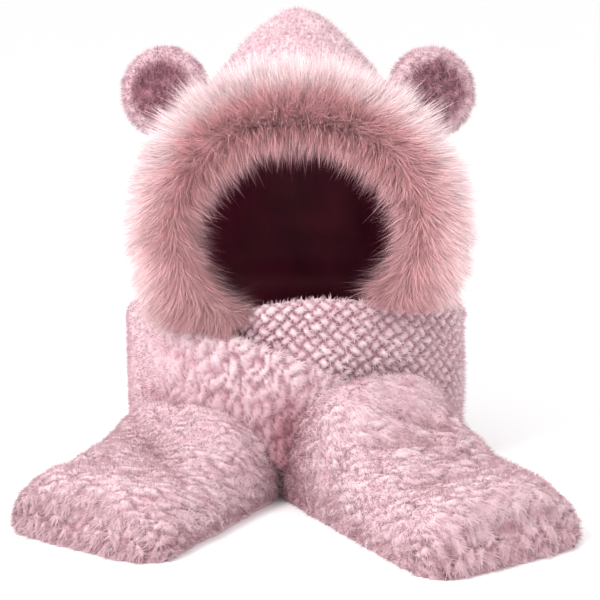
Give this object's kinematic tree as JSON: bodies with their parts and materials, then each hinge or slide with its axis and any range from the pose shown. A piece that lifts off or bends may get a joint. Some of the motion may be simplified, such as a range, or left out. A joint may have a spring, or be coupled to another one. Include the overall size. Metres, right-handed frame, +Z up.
{
  "type": "animal hood scarf",
  "caption": "Plush hood with round animal ears, a deep fur trim round the face and a long scarf crossed in front, ending in hand pockets.",
  "frame": {"origin": "under the middle of the object, on the surface that it stands on", "axes": "+Z up towards the peak, the face looks along -Y, +X is the viewer's right"},
  "size_m": [0.4976, 0.4566, 0.449],
  "materials": {
    "plush": "matte",
    "fur": "matte",
    "inner_ear": "matte",
    "satin": "satin"
  },
  "bodies": {
    "root": {"hood_crown": "plush", "hood_lining": "satin", "fur_trim": "fur", "scarf": "plush", "ear_left": "plush", "ear_left_inner": "inner_ear", "ear_right": "plush", "ear_right_inner": "inner_ear", "pocket_left": "plush", "pocket_right": "plush"}
  },
  "joints": []
}
